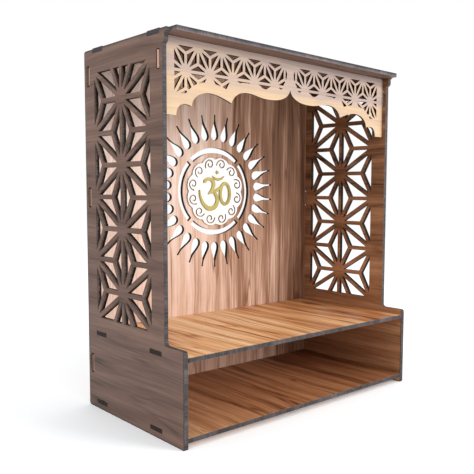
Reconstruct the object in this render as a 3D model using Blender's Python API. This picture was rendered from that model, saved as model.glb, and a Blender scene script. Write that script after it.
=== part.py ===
# A household altar cabinet, laser-cut from flat laminated boards that slot together.
# It stands on the bottom edges of its two side panels and faces -Y. Metres, +Z up.
# The origin is on the floor, under the middle of the cabinet.

import math

import bmesh
import bpy
from mathutils import Matrix, Vector

# Whole cabinet
cabinet_width = 0.428
cabinet_height = 0.500
upper_depth = 0.198
ledge_step = 0.042
board = 0.006
touch_gap = 0.0003

# Boards and side panels: their heights, and the roundings of the outline
base_clearance = 0.008
shelf_top = 0.112
ledge_rise = 0.008
ledge_inner_radius = 0.005
corner_radius = 0.004

# Roof, and the small brackets of the side panels under its overhang
roof_overhang = 0.021
roof_proud = 0.001
ear_reach = 0.0095
ear_height = 0.021
ear_lip = 0.004
ear_neck_reach = 0.0066

# Tabs, and the slots that they pass through
board_tab_length = 0.027
rear_tab_depth = 0.038
front_tab_setback = 0.020
back_tab_length = 0.024
lowest_back_tab = 0.063
top_back_tab_drop = 0.030
middle_back_tab_share = 0.587
slot_end_room = 0.0022
back_inset = 0.0075

# Star lattice in the side panels
side_pitch = 0.0855
side_bar = 0.0064
side_window_margin = 0.028
side_window_top_margin = 0.032
side_window_shelf_margin = 0.020
narrowest_cut = 0.0009

# Front valance
valance_sheet = 0.004
valance_setback = 0.007
valance_corner_radius = 0.005
valance_slot_room = 0.0013
valance_tab_length = 0.026
valance_tab_drop = 0.0277

# Scalloped lower edge of the valance, from each end to the middle: drops are from its top
valance_foot_width = 0.0177
valance_foot_drop = 0.0937
first_scallop_width = 0.0225
first_crown_drop = 0.0757
first_cusp_drop = 0.0809
second_scallop_width = 0.0625
second_crown_drop = 0.0619
second_cusp_drop = 0.0708
third_crown_drop = 0.0546
third_dip_drop = 0.0591
centre_cusp_drop = 0.0414

# Star lattice in the valance
valance_pitch = 0.0367
valance_bar = 0.0042
valance_window_end = 0.0150
valance_window_top = 0.0090
valance_window_edge = 0.0130
valance_middle_band = 0.0130
valance_bulge_radius = 0.0200

# Sun cut through the back panel: a ring slot round the medallion, and rays round that
sun_height_share = 0.514
ring_margin = 0.0066
ring_width = 0.0072
ring_bridge_width = 0.0062
ring_bridge_count = 4
ray_gap = 0.0130
ray_length = 0.0410
ray_belly_width = 0.0135
ray_tail_width = 0.0020
ray_count = 30

# Scalloped medallion in the middle of the sun
medallion_sheet = 0.002
scallop_count = 12
scallop_peak_radius = 0.0556
scallop_valley_radius = 0.0518
curl_rim = 0.0032
curl_outer_radius = 0.0072
curl_inner_radius = 0.0024
curl_slot_width = 0.0016
curl_tail_flare = 0.0028
curl_start = math.radians(205)
curl_sweep = math.radians(430)

# Emblem on the medallion: its strokes are shares of its size, as (x, z, half width)
emblem_sheet = 0.002
emblem_size = 0.030
upper_stroke = (
    (-0.74, 0.45, 0.060),
    (-0.72, 0.56, 0.085),
    (-0.57, 0.655, 0.080),
    (-0.38, 0.66, 0.085),
    (-0.20, 0.54, 0.100),
    (-0.16, 0.35, 0.100),
    (-0.23, 0.16, 0.085),
    (-0.35, 0.00, 0.070),
    (-0.50, -0.13, 0.045),
)
bowl_stroke = (
    (-0.24, 0.13, 0.050),
    (-0.09, -0.05, 0.080),
    (0.04, -0.26, 0.095),
    (0.09, -0.49, 0.105),
    (0.00, -0.73, 0.115),
    (-0.21, -0.89, 0.115),
    (-0.46, -0.91, 0.115),
    (-0.71, -0.78, 0.100),
    (-0.91, -0.54, 0.080),
    (-1.04, -0.23, 0.055),
    (-1.09, 0.09, 0.025),
)
link_stroke = (
    (-0.31, -0.05, 0.050),
    (-0.11, 0.00, 0.070),
    (0.09, 0.10, 0.080),
    (0.35, 0.24, 0.075),
)
loop_centre = (0.61, -0.11)
loop_half_size = (0.32, 0.57)
loop_half_stroke = 0.080
crescent_middle = (0.15, 0.86)
crescent_half_width = 0.405
crescent_outer_sag = 0.275
crescent_inner_sag = 0.130
dot_centre = (0.08, 1.04)
dot_half_size = 0.105

# Places that several pieces share
lower_depth = upper_depth + ledge_step
rear_y = lower_depth / 2
inner_half_width = cabinet_width / 2 - board
panel_end = inner_half_width - touch_gap
roof_underside = cabinet_height + roof_proud - board
under_roof = roof_underside - touch_gap
front_tab_depth = upper_depth - front_tab_setback
back_front = back_inset + board
valance_depth = upper_depth - valance_setback - valance_sheet / 2
sun_height = shelf_top + (roof_underside - shelf_top) * sun_height_share
ring_inner_radius = scallop_peak_radius + ring_margin
ring_outer_radius = ring_inner_radius + ring_width
ray_inner_radius = ring_outer_radius + ray_gap
curl_centre_radius = scallop_peak_radius - curl_rim - curl_outer_radius


def y_at(depth):
    """World Y of a point this far in front of the side panels' rear edges."""
    return rear_y - depth


def finish(name, colour, roughness, metallic=0.0):
    """A plain material with the colour, roughness and metal of the real surface."""
    surface = bpy.data.materials.new(name)
    surface.use_nodes = True
    shader = surface.node_tree.nodes["Principled BSDF"]
    shader.inputs["Base Color"].default_value = (*colour, 1.0)
    shader.inputs["Roughness"].default_value = roughness
    shader.inputs["Metallic"].default_value = metallic
    return surface


def arc(centre, radius, start, end, steps):
    """Points of a circular arc from one angle to another, with both ends."""
    angles = [start + (end - start) * step / steps for step in range(steps + 1)]
    x, y = centre
    return [(x + radius * math.cos(a), y + radius * math.sin(a)) for a in angles]


def bezier(start, near_start, near_end, end, steps=6):
    """Points of a cubic curve after its start, up to its end."""
    points = []
    for step in range(1, steps + 1):
        t = step / steps
        weights = ((1 - t) ** 3, 3 * t * (1 - t) ** 2, 3 * t * t * (1 - t), t**3)
        corners = (start, near_start, near_end, end)
        x = sum(weight * corner[0] for weight, corner in zip(weights, corners))
        y = sum(weight * corner[1] for weight, corner in zip(weights, corners))
        points.append((x, y))
    return points


def rounded(corners, steps=4):
    """A closed outline from (x, y, radius) corners, each turned by an arc."""
    outline = []
    for index, (x, y, radius) in enumerate(corners):
        if radius == 0:
            outline.append((x, y))
            continue
        corner = Vector((x, y))
        before = (Vector(corners[index - 1][:2]) - corner).normalized()
        after = (Vector(corners[(index + 1) % len(corners)][:2]) - corner).normalized()
        half_angle = before.angle(after) / 2
        centre = corner + (before + after).normalized() * radius / math.sin(half_angle)
        reach = radius / math.tan(half_angle)
        first = corner + before * reach - centre
        last = corner + after * reach - centre
        start = math.atan2(first.y, first.x)
        turn = math.remainder(math.atan2(last.y, last.x) - start, 2 * math.pi)
        outline += arc(centre, radius, start, start + turn, steps)
    return outline


def slot(centre, width, height, radius=0.0):
    """A rectangular hole, with rounded corners where it has a radius."""
    x, y = centre
    left, right = x - width / 2, x + width / 2
    low, high = y - height / 2, y + height / 2
    corners = ((left, low), (right, low), (right, high), (left, high))
    return rounded([(*corner, radius) for corner in corners], steps=3)


def tabbed_outline(low, high, tab_places, tab_length):
    """A board between the side panels, with tabs that end flush with their outer faces."""
    right = [(panel_end, low)]
    for place in sorted(tab_places):
        start, end = place - tab_length / 2, place + tab_length / 2
        outside = cabinet_width / 2
        right += [(panel_end, start), (outside, start), (outside, end), (panel_end, end)]
    right.append((panel_end, high))
    return right + [(-x, y) for x, y in reversed(right)]


def cut_sheet(name, outline, holes, thickness, surface, place):
    """One laser-cut sheet: a filled outline with holes, given its thickness."""
    curve = bpy.data.curves.new(name, "CURVE")
    curve.dimensions = "2D"
    curve.fill_mode = "BOTH"
    curve.extrude = thickness / 2
    for loop in (outline, *holes):
        spline = curve.splines.new("POLY")
        spline.points.add(len(loop) - 1)
        spline.use_cyclic_u = True
        for point, (x, y) in zip(spline.points, loop):
            point.co = (x, y, 0.0, 1.0)
    curve.materials.append(surface)
    sheet = bpy.data.objects.new(name, curve)
    sheet.matrix_world = place
    bpy.context.scene.collection.objects.link(sheet)
    return sheet


def lying(height):
    """Places a sheet flat, outline in X and Y, with its middle at this height."""
    return Matrix.Translation((0, 0, height))


def facing_front(depth, height=0.0):
    """Places a sheet upright, outline in X and Z, with its middle at this depth."""
    upright = Matrix.Rotation(math.pi / 2, 4, "X")
    return Matrix.Translation((0, y_at(depth), height)) @ upright


def facing_side(x):
    """Places a sheet upright, outline in Y and Z, with its middle at this X."""
    return Matrix(((0, 0, 1, x), (1, 0, 0, 0), (0, 1, 0, 0), (0, 0, 0, 1)))


def inset_triangle(corners, inset):
    """The triangle with each side moved in, or nothing where none is left."""
    a, b, c = corners
    opposite = ((b - c).length, (c - a).length, (a - b).length)
    perimeter = sum(opposite)
    inner_radius = abs((b - a).cross(c - a)) / perimeter
    if inner_radius <= inset + narrowest_cut / 2:
        return None
    middle = (a * opposite[0] + b * opposite[1] + c * opposite[2]) / perimeter
    return [middle + (corner - middle) * (1 - inset / inner_radius) for corner in corners]


def clipped(window, triangle):
    """The part of a window that lies inside a triangle."""
    a, b, c = triangle
    turn = math.copysign(1, (b - a).cross(c - a))
    points = [Vector(point) for point in window]
    for start, end in ((a, b), (b, c), (c, a)):
        edge = (end - start) * turn
        kept = []
        for index, point in enumerate(points):
            previous = points[index - 1]
            now, before = edge.cross(point - start), edge.cross(previous - start)
            if (now >= 0) != (before >= 0):
                kept.append(previous + (point - previous) * before / (before - now))
            if now >= 0:
                kept.append(point)
        points = kept
    return points


def cuttable(points):
    """Whether a hole is wide enough to be cut."""
    pairs = [(points[index - 1], points[index]) for index in range(len(points))]
    double_area = abs(sum(start.cross(end) for start, end in pairs))
    perimeter = sum((end - start).length for start, end in pairs)
    return len(points) > 2 and double_area > perimeter * narrowest_cut


def star_lattice(hub, pitch, bar, angle, window):
    """Holes of a hemp-leaf lattice, as far as they lie in the window.

    Hubs stand on a grid of triangles. Bars join each hub to its neighbours and
    to the middle of each triangle, which leaves three leaf-shaped holes in it.
    """
    across = Vector((math.cos(angle), math.sin(angle))) * pitch
    along = Vector((math.cos(angle + math.pi / 3), math.sin(angle + math.pi / 3))) * pitch
    spans = [max(values) - min(values) for values in zip(*window)]
    reach = math.ceil(2 * sum(spans) / pitch)
    holes = []
    for i in range(-reach, reach + 1):
        for j in range(-reach, reach + 1):
            first = Vector(hub) + across * i + along * j
            second, third = first + across, first + along
            for triangle in ((first, second, third), (second, second + along, third)):
                middle = sum(triangle, Vector((0, 0))) / 3
                for start, end in zip(triangle, triangle[1:] + triangle[:1]):
                    leaf = inset_triangle((start, end, middle), bar / 2)
                    hole = clipped(window, leaf) if leaf else []
                    if hole and cuttable(hole):
                        holes.append([tuple(point) for point in hole])
    return holes


def back_tab_heights():
    """Middles of the back panel's tabs, from the lowest to the top one."""
    top = roof_underside - top_back_tab_drop
    middle = lowest_back_tab + (top - lowest_back_tab) * middle_back_tab_share
    return (lowest_back_tab, middle, top)


def side_outline():
    """The stepped outline of a side panel, with its notches for the roof's tabs."""
    top_front = Vector((upper_depth, cabinet_height))
    lip = top_front + Vector((ear_reach, -ear_lip))
    neck = top_front + Vector((ear_neck_reach, -ear_height * 0.45))
    foot = top_front - Vector((0, ear_height))
    droop = Vector((0, ear_height * 0.14))
    belly = neck + Vector((ear_neck_reach * 0.15, -ear_height * 0.24))
    sweep = foot + Vector((ear_neck_reach * 0.5, ear_height * 0.19))
    ear = [(lip.x, cabinet_height), tuple(lip)]
    ear += bezier(lip, lip - droop, neck + droop, neck, 4)
    ear += bezier(neck, belly, sweep, foot, 5)
    ledge = shelf_top + ledge_rise
    step = rounded(
        [
            (*foot, 0),
            (upper_depth, ledge, ledge_inner_radius),
            (lower_depth, ledge, corner_radius),
            (lower_depth, 0, corner_radius / 2),
            (0, 0, corner_radius),
            (0, cabinet_height, corner_radius),
            (upper_depth, cabinet_height, 0),
        ]
    )
    notches = []
    half_notch = board_tab_length / 2 + touch_gap
    for middle in (rear_tab_depth, front_tab_depth):
        start, end = middle - half_notch, middle + half_notch
        notches += [(start, cabinet_height), (start, under_roof)]
        notches += [(end, under_roof), (end, cabinet_height)]
    path = ear + step[1:-1] + notches
    return [(y_at(depth), height) for depth, height in path]


def side_holes():
    """Lattice window and tab slots of a side panel."""
    low = shelf_top + side_window_shelf_margin
    high = cabinet_height - side_window_top_margin
    near, far = y_at(side_window_margin), y_at(upper_depth - side_window_margin)
    window = [(far, low), (near, low), (near, high), (far, high)]
    hub = ((near + far) / 2, (low + high) / 2 + side_pitch / 2)
    holes = star_lattice(hub, side_pitch, side_bar, math.pi / 6, window)
    wide = board_tab_length + 2 * touch_gap
    thick = board + 2 * touch_gap
    for depth in (rear_tab_depth, front_tab_depth):
        for height in (base_clearance + board / 2, shelf_top - board / 2):
            holes.append(slot((y_at(depth), height), wide, thick))
    tall = back_tab_length + 2 * slot_end_room
    for height in back_tab_heights():
        middle = (y_at(back_inset + board / 2), height)
        holes.append(slot(middle, thick, tall, slot_end_room))
    middle = (y_at(valance_depth), under_roof - valance_tab_drop)
    tall = valance_tab_length + 2 * slot_end_room
    wide = valance_sheet + 2 * valance_slot_room
    holes.append(slot(middle, wide, tall, slot_end_room))
    return holes


def scalloped_edge():
    """The valance's lower edge, from its foot on the right to the middle."""
    foot = panel_end - valance_foot_width
    first_cusp = foot - first_scallop_width
    second_cusp = first_cusp - second_scallop_width

    def below(x, drop):
        return (x, under_roof - drop)

    def first(share, drop):
        return below(foot - first_scallop_width * share, drop)

    def second(share, drop):
        return below(first_cusp - second_scallop_width * share, drop)

    def third(share, drop):
        return below(second_cusp * (1 - share), drop)

    rising = first_cusp_drop + (second_crown_drop - first_cusp_drop) * 0.65
    falling = (second_crown_drop + second_cusp_drop) / 2
    climbing = second_cusp_drop + (third_crown_drop - second_cusp_drop) * 0.6
    curves = (
        (first(0, first_cusp_drop), first(0.4, first_crown_drop), first(1, first_cusp_drop)),
        (second(0.02, rising), second(0.22, second_crown_drop), second(0.44, second_crown_drop)),
        (second(0.63, second_crown_drop), second(0.82, falling), second(1, second_cusp_drop)),
        (third(0.03, climbing), third(0.12, third_crown_drop), third(0.25, third_crown_drop)),
        (third(0.38, third_crown_drop), third(0.46, third_dip_drop), third(0.62, third_dip_drop)),
        (third(0.81, third_dip_drop), third(0.97, third_crown_drop), third(1, centre_cusp_drop)),
    )
    edge = [below(foot, valance_foot_drop)]
    for near_start, near_end, end in curves:
        edge += bezier(edge[-1], near_start, near_end, end)
    return edge


def valance_outline(edge):
    """The whole valance, mirrored about its middle, with a tab at each end."""
    tab_middle = under_roof - valance_tab_drop
    tab_low, tab_high = tab_middle - valance_tab_length / 2, tab_middle + valance_tab_length / 2
    outside = cabinet_width / 2
    corner = (panel_end - valance_corner_radius, under_roof - valance_corner_radius)
    right = list(reversed(edge))
    right += [(panel_end, edge[0][1]), (panel_end, tab_low), (outside, tab_low)]
    right += [(outside, tab_high), (panel_end, tab_high)]
    right += arc(corner, valance_corner_radius, 0, math.pi / 2, 4)
    return right + [(-x, z) for x, z in reversed(right[1:])]


def valance_window(edge):
    """The right half's lattice window, which follows the scalloped edge below it."""
    mirrored = edge + [(-x, z) for x, z in edge]
    outer = panel_end - valance_window_end
    high = under_roof - valance_window_top

    def floor(x):
        near = [(z, valance_window_edge**2 - (x - px) ** 2) for px, z in mirrored]
        return max(z + math.sqrt(room) for z, room in near if room > 0)

    start, end = math.radians(145), math.radians(225)
    centre_x = valance_middle_band / 2 + valance_bulge_radius
    centre_z = high - valance_bulge_radius * math.sin(start)
    bulge = arc((centre_x, centre_z), valance_bulge_radius, start, end, 12)
    bulge = [(x, z) for x, z in bulge if z > floor(x)]
    last = bulge[-1][0]
    steps = 36
    xs = [last + (outer - last) * step / steps for step in range(1, steps + 1)]
    return [(outer, high), *bulge, *[(x, floor(x)) for x in xs]]


def valance_holes(edge):
    """Lattice cut-outs of both halves, each starting a half star in from its end."""
    outer_hub = panel_end - valance_window_end + valance_bar / 2 - valance_pitch / 2
    row_height = valance_pitch * math.sqrt(3) / 2
    hub = (outer_hub, under_roof - valance_window_top + valance_bar / 2 - row_height)
    right = star_lattice(hub, valance_pitch, valance_bar, 0.0, valance_window(edge))
    return right + [[(-x, z) for x, z in hole] for hole in right]


def turned(points, angle):
    """Points turned about the sun's middle, which is the sheet's own origin."""
    c, s = math.cos(angle), math.sin(angle)
    return [(x * c - y * s, x * s + y * c) for x, y in points]


def ray():
    """One flame-shaped ray along +X: a round belly that draws out to a thin tail."""
    belly_at, tail_from = 0.22, 0.68
    upper = []
    for share in (0.0, 0.04, 0.12, belly_at, 0.36, 0.50, tail_from, 1.0):
        if share <= belly_at:
            width = ray_belly_width * math.sqrt(1 - (1 - share / belly_at) ** 2)
        else:
            fall = min(1, (share - belly_at) / (tail_from - belly_at))
            swell = math.cos(fall * math.pi / 2) ** 2
            width = ray_tail_width + (ray_belly_width - ray_tail_width) * swell
        upper.append((ray_inner_radius + share * ray_length, width / 2))
    return upper + [(x, -y) for x, y in reversed(upper[1:])]


def ring_part():
    """One arc of the ring slot, centred on +X, with ends parallel to the bridges."""
    half_turn = math.pi / ring_bridge_count
    outer_gap = math.asin(ring_bridge_width / 2 / ring_outer_radius)
    inner_gap = math.asin(ring_bridge_width / 2 / ring_inner_radius)
    outer_end, inner_end = half_turn - outer_gap, half_turn - inner_gap
    outside = arc((0, 0), ring_outer_radius, -outer_end, outer_end, 12)
    inside = arc((0, 0), ring_inner_radius, inner_end, -inner_end, 12)
    return outside + inside


def sun_holes():
    """Rays and ring of the sun, about the back panel's point at the sun's height."""
    ray_turn = 2 * math.pi / ray_count
    holes = [turned(ray(), (index + 0.5) * ray_turn) for index in range(ray_count)]
    ring_turn = 2 * math.pi / ring_bridge_count
    holes += [turned(ring_part(), index * ring_turn) for index in range(ring_bridge_count)]
    return [[(x, y + sun_height) for x, y in hole] for hole in holes]


def scalloped_disc():
    """The medallion's outline: equal lobes between its peak and valley radii."""
    peak, valley = scallop_peak_radius, scallop_valley_radius
    half_turn = math.pi / scallop_count
    lobe_centre = (peak**2 - valley**2) / (2 * (peak - valley * math.cos(half_turn)))
    lobe_radius = peak - lobe_centre
    rise = valley * math.sin(half_turn)
    edge_angle = math.atan2(rise, valley * math.cos(half_turn) - lobe_centre)
    lobe = arc((lobe_centre, 0), lobe_radius, -edge_angle, edge_angle, 5)[:-1]
    turns = [(2 * index + 1) * half_turn for index in range(scallop_count)]
    return [point for turn in turns for point in turned(lobe, turn)]


def curl():
    """One spiral slot for the lobe on +X: a tail, an arc over the outside, then a coil."""
    steps = 13
    inner, outer = [], []
    for step in range(steps + 1):
        share = step / steps
        angle = curl_start - curl_sweep * share - math.pi / 2
        radius = curl_outer_radius + curl_tail_flare * (1 - share) ** 8
        radius -= (curl_outer_radius - curl_inner_radius) * share**1.5
        half = curl_slot_width / 2
        c, s = math.cos(angle), math.sin(angle)
        inner.append((curl_centre_radius + (radius - half) * c, (radius - half) * s))
        outer.append((curl_centre_radius + (radius + half) * c, (radius + half) * s))
    return outer + inner[::-1]


def medallion_curls():
    """A curl in every lobe."""
    half_turn = math.pi / scallop_count
    return [turned(curl(), (2 * index + 1) * half_turn) for index in range(scallop_count)]


def scaled(points):
    """Emblem shares as real sizes."""
    return [tuple(value * emblem_size for value in point) for point in points]


def smoothed(stroke, steps=3):
    """A stroke's points with a smooth curve through them, half widths too."""
    ends = [stroke[0], *stroke, stroke[-1]]
    points = []
    for before, start, end, after in zip(ends, ends[1:], ends[2:], ends[3:]):
        for step in range(steps):
            t = step / steps
            points.append(
                tuple(
                    b + t * (c - a) / 2 + t * t * (a - 2.5 * b + 2 * c - d / 2)
                    + t**3 * (1.5 * (b - c) + (d - a) / 2)
                    for a, b, c, d in zip(before, start, end, after)
                )
            )
    return [*points, stroke[-1]]


def brush_stroke(name, path, closed, surface, place):
    """A flat stroke of the emblem, as wide at each point as the path says."""
    shape = bmesh.new()
    count = len(path)
    rings = []
    for index, (x, z, half) in enumerate(path):
        before = path[index - 1] if closed or index else path[0]
        after = path[(index + 1) % count] if closed or index < count - 1 else path[-1]
        run = Vector((after[0] - before[0], after[1] - before[1])).normalized()
        side = Vector((-run.y, run.x)) * half
        corners = ((side, 1), (-side, 1), (-side, -1), (side, -1))
        rings.append(
            [
                shape.verts.new((x + offset.x, z + offset.y, face * emblem_sheet / 2))
                for offset, face in corners
            ]
        )
    pairs = list(zip(rings, rings[1:]))
    if closed:
        pairs.append((rings[-1], rings[0]))
    for ring, following in pairs:
        for index in range(4):
            other = (index + 1) % 4
            shape.faces.new((ring[index], ring[other], following[other], following[index]))
    if not closed:
        shape.faces.new(rings[0][::-1])
        shape.faces.new(rings[-1])
    bmesh.ops.recalc_face_normals(shape, faces=shape.faces)
    mesh = bpy.data.meshes.new(name)
    shape.to_mesh(mesh)
    shape.free()
    mesh.materials.append(surface)
    stroke = bpy.data.objects.new(name, mesh)
    stroke.matrix_world = place
    bpy.context.scene.collection.objects.link(stroke)
    return stroke


def emblem_body(surface, place):
    """The joined strokes of the emblem: upper stroke, bowl, link and loop."""
    body = brush_stroke("om_body", scaled(smoothed(bowl_stroke)), False, surface, place)
    loop = []
    for step in range(28):
        angle = 2 * math.pi * step / 28
        x = loop_centre[0] + loop_half_size[0] * math.cos(angle)
        z = loop_centre[1] + loop_half_size[1] * math.sin(angle)
        loop.append((x, z, loop_half_stroke))
    others = (
        ("upper stroke", smoothed(upper_stroke), False),
        ("link stroke", smoothed(link_stroke), False),
        ("loop stroke", loop, True),
    )
    for name, path, closed in others:
        helper = brush_stroke(name, scaled(path), closed, surface, place)
        helper.hide_render = True
        helper.display_type = "WIRE"
        join = body.modifiers.new(name, "BOOLEAN")
        join.operation = "UNION"
        join.solver = "EXACT"
        join.object = helper
    return body


def hanging_arc(sag, steps=8):
    """An arc that hangs between the crescent's tips, from left to right."""
    radius = (crescent_half_width**2 + sag**2) / (2 * sag)
    centre = (crescent_middle[0], crescent_middle[1] + radius - sag)
    half_angle = math.asin(crescent_half_width / radius)
    down = -math.pi / 2
    return arc(centre, radius, down - half_angle, down + half_angle, steps)


def crescent_outline():
    """A lens between two hanging arcs."""
    return scaled(hanging_arc(crescent_outer_sag) + hanging_arc(crescent_inner_sag)[-2:0:-1])


def dot_outline():
    """A small diamond."""
    x, z = dot_centre
    half = dot_half_size
    return scaled([(x - half, z), (x, z - half), (x + half, z), (x, z + half)])


def build_cabinet():
    """Every piece of the cabinet, in the order in which it is put together."""
    walnut = finish("walnut laminate", (0.150, 0.082, 0.052), 0.45)
    warm = finish("warm laminate", (0.420, 0.190, 0.070), 0.38)
    maple = finish("pale laminate", (0.780, 0.600, 0.400), 0.50)
    white = finish("white laminate", (0.860, 0.850, 0.830), 0.35)
    gold = finish("gold", (0.720, 0.560, 0.160), 0.32, 0.9)

    side_middle = cabinet_width / 2 - board / 2
    outline, holes = side_outline(), side_holes()
    for name, x in (("left_side_panel", -side_middle), ("right_side_panel", side_middle)):
        cut_sheet(name, outline, holes, board, walnut, facing_side(x))

    outline = tabbed_outline(base_clearance, under_roof, back_tab_heights(), back_tab_length)
    place = facing_front(back_inset + board / 2)
    cut_sheet("back_panel", outline, sun_holes(), board, walnut, place)

    tabs = (y_at(rear_tab_depth), y_at(front_tab_depth))
    roof_front = y_at(upper_depth + roof_overhang)
    outline = tabbed_outline(roof_front, y_at(0), tabs, board_tab_length)
    cut_sheet("roof_panel", outline, (), board, walnut, lying(roof_underside + board / 2))

    shelf_back = y_at(back_front + touch_gap)
    outline = tabbed_outline(y_at(lower_depth), shelf_back, tabs, board_tab_length)
    cut_sheet("altar_shelf", outline, (), board, warm, lying(shelf_top - board / 2))
    cut_sheet("base_board", outline, (), board, warm, lying(base_clearance + board / 2))

    edge = scalloped_edge()
    outline, holes = valance_outline(edge), valance_holes(edge)
    place = facing_front(valance_depth)
    cut_sheet("front_valance", outline, holes, valance_sheet, maple, place)

    depth = back_front + touch_gap + medallion_sheet / 2
    place = facing_front(depth, sun_height)
    outline, holes = scalloped_disc(), medallion_curls()
    cut_sheet("sun_medallion", outline, holes, medallion_sheet, white, place)

    depth += medallion_sheet / 2 + touch_gap + emblem_sheet / 2
    place = facing_front(depth, sun_height)
    emblem_body(gold, place)
    cut_sheet("om_crescent", crescent_outline(), (), emblem_sheet, gold, place)
    cut_sheet("om_dot", dot_outline(), (), emblem_sheet, gold, place)


for leftover in list(bpy.data.objects):
    bpy.data.objects.remove(leftover, do_unlink=True)
build_cabinet()
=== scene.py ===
import math

import bmesh
import bpy
from mathutils import Matrix, Vector


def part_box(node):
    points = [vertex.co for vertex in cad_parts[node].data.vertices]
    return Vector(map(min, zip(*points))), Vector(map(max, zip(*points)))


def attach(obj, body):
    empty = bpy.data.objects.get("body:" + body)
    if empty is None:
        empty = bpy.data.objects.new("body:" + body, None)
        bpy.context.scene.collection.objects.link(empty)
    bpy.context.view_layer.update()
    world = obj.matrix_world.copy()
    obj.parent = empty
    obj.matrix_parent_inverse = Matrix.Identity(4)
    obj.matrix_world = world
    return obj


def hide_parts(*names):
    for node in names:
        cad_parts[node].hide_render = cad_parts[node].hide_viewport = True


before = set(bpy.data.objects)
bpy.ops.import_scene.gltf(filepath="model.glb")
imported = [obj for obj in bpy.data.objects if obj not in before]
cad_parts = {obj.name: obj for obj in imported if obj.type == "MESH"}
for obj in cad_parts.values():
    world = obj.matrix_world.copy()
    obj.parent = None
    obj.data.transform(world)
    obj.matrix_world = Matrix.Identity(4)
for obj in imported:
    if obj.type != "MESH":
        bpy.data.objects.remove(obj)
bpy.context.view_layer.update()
scene = bpy.context.scene
scene.view_settings.view_transform = "Standard"


# Camera: the photograph is a cropped one, so the lens is shifted.
cameraSettings = {
    "place": (-0.6384, -0.7498, 0.3085),
    "aim": (0.1020, 0.0, 0.2200),
    "roll": 0.62,
    "lens": 49.1,
    "shift": (-0.1426, 0.0213),
}


def placeCamera(settings):
    camera = bpy.data.objects.new("camera", bpy.data.cameras.new("camera"))
    place, aim = Vector(settings["place"]), Vector(settings["aim"])
    look = (aim - place).to_track_quat("-Z", "Y").to_matrix().to_4x4()
    roll = Matrix.Rotation(math.radians(settings["roll"]), 4, "Z")
    camera.matrix_world = Matrix.Translation(place) @ look @ roll
    camera.data.lens = settings["lens"]
    camera.data.shift_x, camera.data.shift_y = settings["shift"]
    scene.collection.objects.link(camera)
    scene.camera = camera


# Outlines, in a sheet's own plane

def arcPoints(centre, radius, start, end, steps):
    angles = [start + (end - start) * step / steps for step in range(steps + 1)]
    return [(centre[0] + radius * math.cos(a), centre[1] + radius * math.sin(a)) for a in angles]


def bezierPoints(start, nearStart, nearEnd, end, steps=16):
    points = []
    for step in range(1, steps + 1):
        t = step / steps
        weights = ((1 - t) ** 3, 3 * t * (1 - t) ** 2, 3 * t * t * (1 - t), t**3)
        corners = (start, nearStart, nearEnd, end)
        x = sum(weight * corner[0] for weight, corner in zip(weights, corners))
        y = sum(weight * corner[1] for weight, corner in zip(weights, corners))
        points.append((x, y))
    return points


def roundedLoop(corners, steps=8):
    # each corner is (x, y, radius); a radius of 0 stays sharp
    loop = []
    for index, (x, y, radius) in enumerate(corners):
        if radius == 0:
            loop.append((x, y))
            continue
        corner = Vector((x, y))
        before = (Vector(corners[index - 1][:2]) - corner).normalized()
        after = (Vector(corners[(index + 1) % len(corners)][:2]) - corner).normalized()
        halfAngle = before.angle(after) / 2
        centre = corner + (before + after).normalized() * radius / math.sin(halfAngle)
        reach = radius / math.tan(halfAngle)
        first, last = corner + before * reach - centre, corner + after * reach - centre
        start = math.atan2(first.y, first.x)
        turn = math.remainder(math.atan2(last.y, last.x) - start, 2 * math.pi)
        loop += arcPoints(centre, radius, start, start + turn, steps)
    return loop


def slotLoop(middle, width, height, radius=0.0):
    low = (middle[0] - width / 2, middle[1] - height / 2)
    high = (middle[0] + width / 2, middle[1] + height / 2)
    corners = ((low[0], low[1]), (high[0], low[1]), (high[0], high[1]), (low[0], high[1]))
    return roundedLoop([(*corner, radius) for corner in corners], steps=6)


def loopsObject(name, loops):
    curve = bpy.data.curves.new(name, "CURVE")
    curve.dimensions = "2D"
    curve.fill_mode = "NONE"
    for loop in loops:
        spline = curve.splines.new("POLY")
        spline.points.add(len(loop) - 1)
        spline.use_cyclic_u = True
        for point, (x, y) in zip(spline.points, loop):
            point.co = (x, y, 0.0, 1.0)
    helper = bpy.data.objects.new(name, curve)
    scene.collection.objects.link(helper)
    return helper


# Geometry Nodes

sheetSettings = {
    "weld": 0.000005, "onOutline": 0.0001, "arris": 0.0002, "smoothBelow": 35, "softenAbove": 50,
}


def startTree(name, inputs):
    tree = bpy.data.node_groups.new(name, "GeometryNodeTree")
    tree.interface.new_socket("Geometry", in_out="INPUT", socket_type="NodeSocketGeometry")
    for label, kind in inputs.items():
        tree.interface.new_socket(label, in_out="INPUT", socket_type="NodeSocket" + kind)
    tree.interface.new_socket("Geometry", in_out="OUTPUT", socket_type="NodeSocketGeometry")
    return tree, tree.nodes.new("NodeGroupInput").outputs, tree.nodes.new("NodeGroupOutput")


def addNode(tree, kind, inputs=None, **settings):
    node = tree.nodes.new(kind)
    for key, value in settings.items():
        setattr(node, key, value)
    for key, value in (inputs or {}).items():
        links = value if isinstance(value, list) else [value]
        for link in links:
            if isinstance(link, bpy.types.NodeSocket):
                tree.links.new(link, node.inputs[key])
            else:
                node.inputs[key].default_value = link
    return node


def geoNode(tree, kind, inputs=None, **settings):
    return addNode(tree, "GeometryNode" + kind, inputs, **settings).outputs[0]


def mathNode(tree, operation, first, second=0.0):
    return addNode(tree, "ShaderNodeMath", {0: first, 1: second}, operation=operation).outputs[0]


def vectorNode(tree, x=0.0, y=0.0, z=0.0):
    return addNode(tree, "ShaderNodeCombineXYZ", {"X": x, "Y": y, "Z": z}).outputs[0]


def movedNode(tree, geometry, shift=None, turn=None, scale=None):
    inputs = {"Geometry": geometry}
    if shift is not None:
        inputs["Translation"] = shift
    if turn is not None:
        inputs["Rotation"] = turn
    if scale is not None:
        inputs["Scale"] = scale
    return geoNode(tree, "Transform", inputs)


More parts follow.
